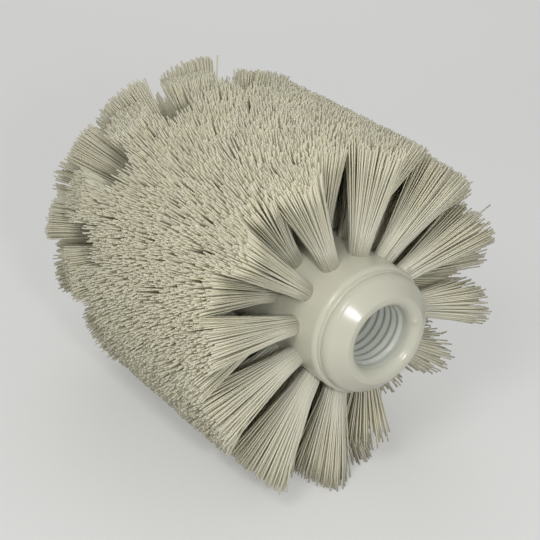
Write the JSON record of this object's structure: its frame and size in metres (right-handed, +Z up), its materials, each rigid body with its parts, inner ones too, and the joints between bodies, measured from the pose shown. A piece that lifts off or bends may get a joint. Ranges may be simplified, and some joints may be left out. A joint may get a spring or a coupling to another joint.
{
  "type": "toilet brush head",
  "caption": "Screw-on toilet brush head lying on its side: a moulded plastic hub with a threaded socket, set round its barrel and far end with tufts of stiff plastic bristle.",
  "frame": {"origin": "on the floor, under the middle of the head's length", "axes": "+X along the screw axis, out of the socket's mouth; +Z up; the head lies on its bristles"},
  "size_m": [0.0988, 0.0761, 0.0755],
  "materials": {
    "hub_plastic": "glossy ivory-white polypropylene",
    "bristle": "cream-white extruded filament, satin",
    "anchor_wire": "plain drawn flat wire"
  },
  "bodies": {
    "root": {"hub": "hub_plastic", "bristles_upper_near": "bristle", "bristles_lower_near": "bristle", "bristles_lower_far": "bristle", "bristles_upper_far": "bristle", "anchor_ring1_01": "anchor_wire", "anchor_ring1_02": "anchor_wire", "anchor_ring1_03": "anchor_wire", "anchor_ring1_04": "anchor_wire", "anchor_ring1_05": "anchor_wire", "anchor_ring1_06": "anchor_wire", "anchor_ring1_07": "anchor_wire", "anchor_ring1_08": "anchor_wire", "anchor_ring1_09": "anchor_wire", "anchor_ring1_10": "anchor_wire", "anchor_ring1_11": "anchor_wire", "anchor_ring1_12": "anchor_wire", "anchor_ring2_01": "anchor_wire", "anchor_ring2_02": "anchor_wire", "anchor_ring2_03": "anchor_wire", "anchor_ring2_04": "anchor_wire", "anchor_ring2_05": "anchor_wire", "anchor_ring2_06": "anchor_wire", "anchor_ring2_07": "anchor_wire", "anchor_ring2_08": "anchor_wire", "anchor_ring2_09": "anchor_wire", "anchor_ring2_10": "anchor_wire", "anchor_ring2_11": "anchor_wire", "anchor_ring2_12": "anchor_wire", "anchor_ring3_01": "anchor_wire", "anchor_ring3_02": "anchor_wire", "anchor_ring3_03": "anchor_wire", "anchor_ring3_04": "anchor_wire", "anchor_ring3_05": "anchor_wire", "anchor_ring3_06": "anchor_wire", "anchor_ring3_07": "anchor_wire", "anchor_ring3_08": "anchor_wire", "anchor_ring3_09": "anchor_wire", "anchor_ring3_10": "anchor_wire", "anchor_ring3_11": "anchor_wire", "anchor_ring3_12": "anchor_wire", "anchor_ring4_01": "anchor_wire", "anchor_ring4_02": "anchor_wire", "anchor_ring4_03": "anchor_wire", "anchor_ring4_04": "anchor_wire", "anchor_ring4_05": "anchor_wire", "anchor_ring4_06": "anchor_wire", "anchor_ring4_07": "anchor_wire", "anchor_ring4_08": "anchor_wire", "anchor_ring4_09": "anchor_wire", "anchor_ring4_10": "anchor_wire", "anchor_ring4_11": "anchor_wire", "anchor_ring4_12": "anchor_wire"}
  },
  "joints": []
}
